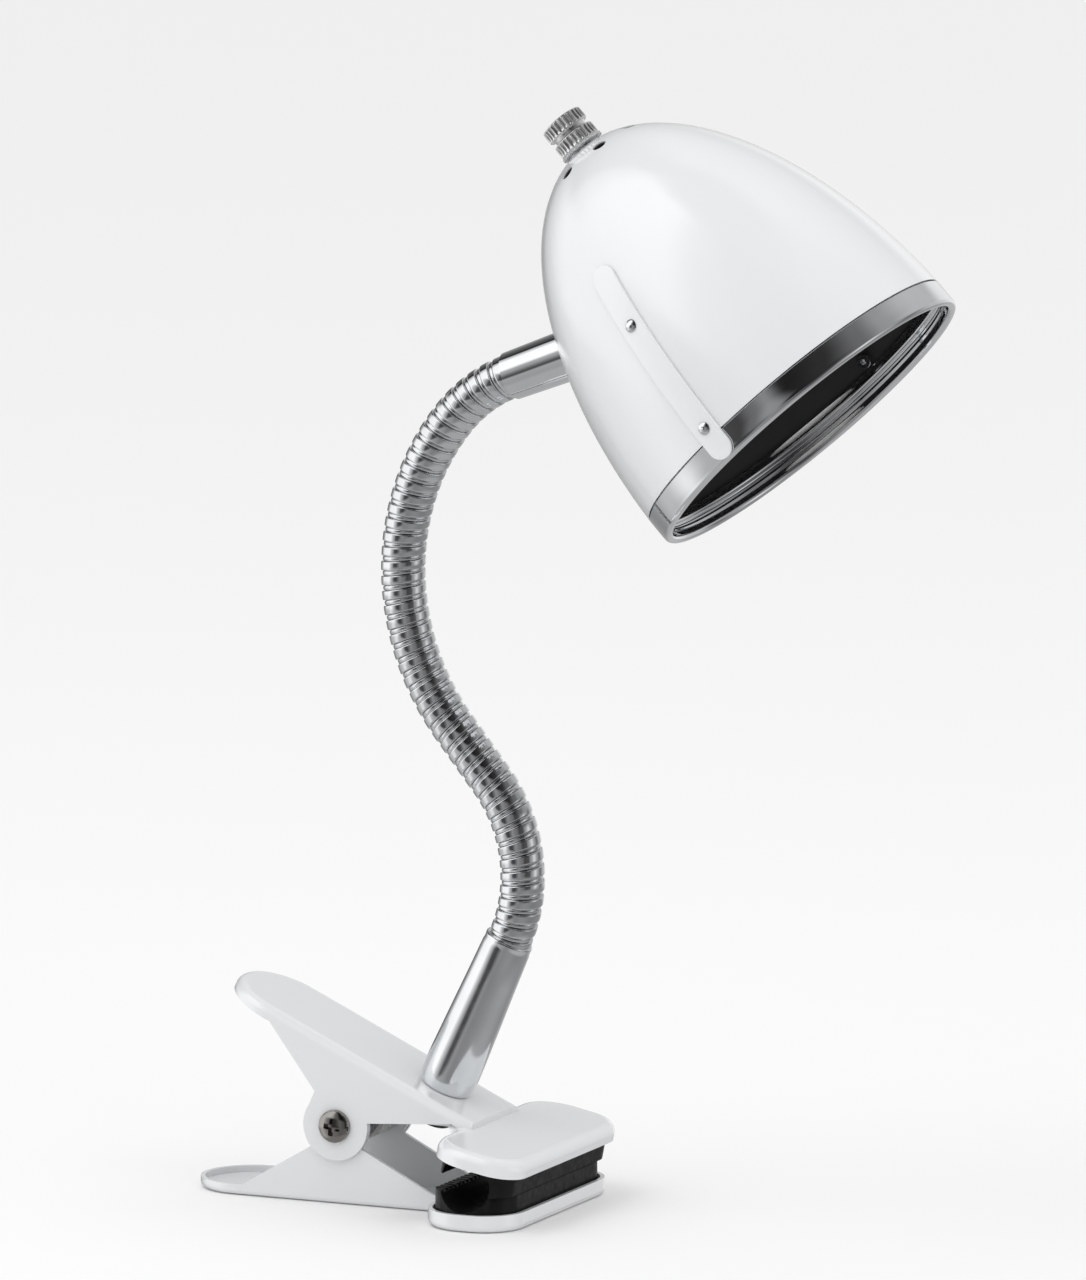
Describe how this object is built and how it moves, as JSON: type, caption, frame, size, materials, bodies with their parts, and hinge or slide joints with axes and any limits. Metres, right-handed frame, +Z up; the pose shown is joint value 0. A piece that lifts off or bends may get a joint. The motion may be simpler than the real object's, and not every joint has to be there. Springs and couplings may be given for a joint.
{
  "type": "clip-on reading lamp",
  "caption": "Clip-on reading lamp: a sprung two-lever clamp with rubber jaws, a flexible metal gooseneck and a vented bullet shade with a bright rim and a turning switch knob.",
  "frame": {"origin": "centre of the lower jaw's foot, on the surface the lamp stands on", "axes": "+X points out of the clamp's mouth, the way the shade leans; +Y to its left; +Z is up"},
  "size_m": [0.2138, 0.1032, 0.3004],
  "materials": {
    "painted_steel": "gloss white powder coat",
    "black_rubber": "matt black",
    "dark_nickel": "dark nickel plate",
    "zinc_steel": "zinc plate",
    "white_plastic": "white",
    "spring_steel": "oiled spring steel",
    "bright_chrome": "bright chrome plate",
    "black_plastic": "satin black",
    "painted_shade": "gloss white outside, dark grey inside",
    "clear_plastic": "translucent white",
    "knurled_aluminium": "straight knurled, bright",
    "brass": "bare",
    "bulb_glass": "opal",
    "core_brown": "brown insulation",
    "core_blue": "blue insulation",
    "hose_chrome": "bright chrome, spiral wound",
    "cable_jacket": "white sheath"
  },
  "bodies": {
    "lower_jaw": {"lower_jaw": "painted_steel", "lower_pad": "black_rubber", "pivot_screw": "dark_nickel", "pivot_nut": "zinc_steel", "pivot_bush": "zinc_steel", "spring_drum": "white_plastic", "clamp_spring": "spring_steel"},
    "upper_jaw": {"upper_jaw": "painted_steel", "upper_pad": "black_rubber", "base_tube": "bright_chrome", "base_washer": "zinc_steel", "base_nut": "zinc_steel", "cord_gland": "black_plastic", "hose_1": "hose_chrome", "cable_1": "cable_jacket"},
    "neck_1": {"hose_2": "hose_chrome", "cable_2": "cable_jacket"},
    "neck_2": {"hose_3": "hose_chrome", "cable_3": "cable_jacket"},
    "neck_3": {"hose_4": "hose_chrome", "cable_4": "cable_jacket"},
    "neck_4": {"hose_5": "hose_chrome", "cable_5": "cable_jacket"},
    "neck_5": {"hose_6": "hose_chrome", "cable_6": "cable_jacket"},
    "head": {"hose_7": "hose_chrome", "cable_7": "cable_jacket", "head_tube": "bright_chrome", "tube_nut": "zinc_steel", "head_bracket": "zinc_steel", "shade": "painted_shade", "rim_ring": "bright_chrome", "strap_right": "painted_steel", "strap_left": "painted_steel", "shade_rivets": "bright_chrome", "apex_washer": "clear_plastic", "ring_nut": "knurled_aluminium", "nipple": "zinc_steel", "lock_nut": "zinc_steel", "switch_body": "black_plastic", "lamp_holder": "black_plastic", "holder_shell": "brass", "centre_contact": "brass", "bulb_cap": "zinc_steel", "bulb_glass": "bulb_glass", "live_wire": "core_brown", "neutral_wire": "core_blue"},
    "switch": {"switch_knob": "knurled_aluminium", "switch_shaft": "zinc_steel"}
  },
  "joints": [
    {"name": "clamp_open", "type": "hinge", "parent": "lower_jaw", "child": "upper_jaw", "pos_m": [-0.0462, 0, 0.0214], "axis": [0, -1, 0], "range_deg": [0, 35], "stiffness_Nm_per_rad": 1.5, "springref_deg": -45.84, "deforming": ["clamp_spring"]},
    {"name": "neck_bend_1", "type": "hinge", "parent": "upper_jaw", "child": "neck_1", "pos_m": [0.00195, 0, 0.08763], "axis": [0, 1, 0], "range_deg": [-15, 15]},
    {"name": "neck_side_1", "type": "hinge", "parent": "neck_1", "child": "neck_2", "pos_m": [-0.00617, 0, 0.11499], "axis": [-0.7974, 0, -0.6035], "range_deg": [-15, 15]},
    {"name": "neck_bend_2", "type": "hinge", "parent": "neck_2", "child": "neck_3", "pos_m": [-0.0239, 0, 0.13809], "axis": [0, 1, 0], "range_deg": [-15, 15]},
    {"name": "neck_bend_3", "type": "hinge", "parent": "neck_3", "child": "neck_4", "pos_m": [-0.03272, 0, 0.16564], "axis": [0, 1, 0], "range_deg": [-15, 15]},
    {"name": "neck_side_2", "type": "hinge", "parent": "neck_4", "child": "neck_5", "pos_m": [-0.02902, 0, 0.19433], "axis": [-0.9404, 0, 0.3401], "range_deg": [-15, 15]},
    {"name": "neck_bend_4", "type": "hinge", "parent": "neck_5", "child": "head", "pos_m": [-0.01338, 0, 0.21861], "axis": [0, 1, 0], "range_deg": [-15, 15]},
    {"name": "switch_turn", "type": "hinge", "parent": "head", "child": "switch", "pos_m": [0.01573, 0, 0.29366], "axis": [-0.6934, 0, 0.7206], "range_deg": [0, 90]}
  ]
}
